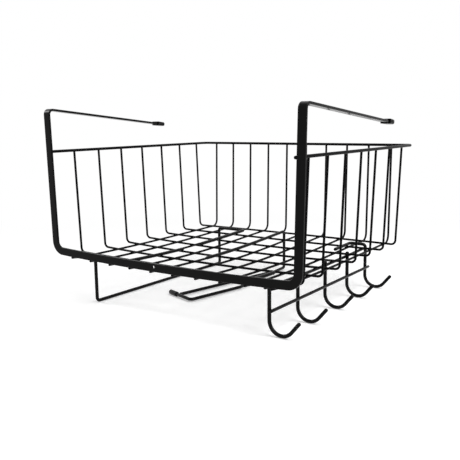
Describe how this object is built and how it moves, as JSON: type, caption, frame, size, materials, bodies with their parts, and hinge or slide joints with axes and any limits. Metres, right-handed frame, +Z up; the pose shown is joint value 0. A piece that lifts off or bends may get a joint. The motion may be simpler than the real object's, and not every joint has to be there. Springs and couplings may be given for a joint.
{
  "type": "under shelf basket",
  "caption": "Wire basket with an open front that hangs under a shelf by two flat arms, with a board bar, a roll rod and a row of cup hooks below its floor.",
  "frame": {"origin": "centre of the bounding box at its lowest level", "axes": "+X to the right seen from the front, +Y to the closed back of the basket, +Z up; the open front faces -Y"},
  "size_m": [0.406, 0.3471, 0.259],
  "materials": {
    "satin_black_strip": "satin black powder coat on flat steel strip",
    "gloss_black_wire": "gloss black coat on welded steel wire",
    "gloss_black_bar": "gloss black coat on bent steel wire",
    "black_vinyl": "soft black vinyl, matt"
  },
  "bodies": {
    "root": {"front_frame": "satin_black_strip", "arm_sleeve_left": "black_vinyl", "arm_sleeve_right": "black_vinyl", "roll_rod_cap": "black_vinyl", "rim_wire": "gloss_black_wire", "cross_wire_1": "gloss_black_wire", "cross_wire_2": "gloss_black_wire", "cross_wire_3": "gloss_black_wire", "cross_wire_4": "gloss_black_wire", "cross_wire_5": "gloss_black_wire", "cross_wire_6": "gloss_black_wire", "cross_wire_7": "gloss_black_wire", "depth_wire_1": "gloss_black_wire", "depth_wire_2": "gloss_black_wire", "depth_wire_3": "gloss_black_wire", "depth_wire_4": "gloss_black_wire", "depth_wire_5": "gloss_black_wire", "depth_wire_6": "gloss_black_wire", "depth_wire_7": "gloss_black_wire", "depth_wire_8": "gloss_black_wire", "depth_wire_9": "gloss_black_wire", "depth_wire_10": "gloss_black_wire", "board_bar": "gloss_black_bar", "roll_rod": "gloss_black_bar", "return_rod": "gloss_black_bar", "hook_1": "gloss_black_bar", "hook_2": "gloss_black_bar", "hook_3": "gloss_black_bar", "hook_4": "gloss_black_bar", "hook_5": "gloss_black_bar", "rack_rail": "gloss_black_bar", "rack_tie_bar": "gloss_black_bar"}
  },
  "joints": []
}
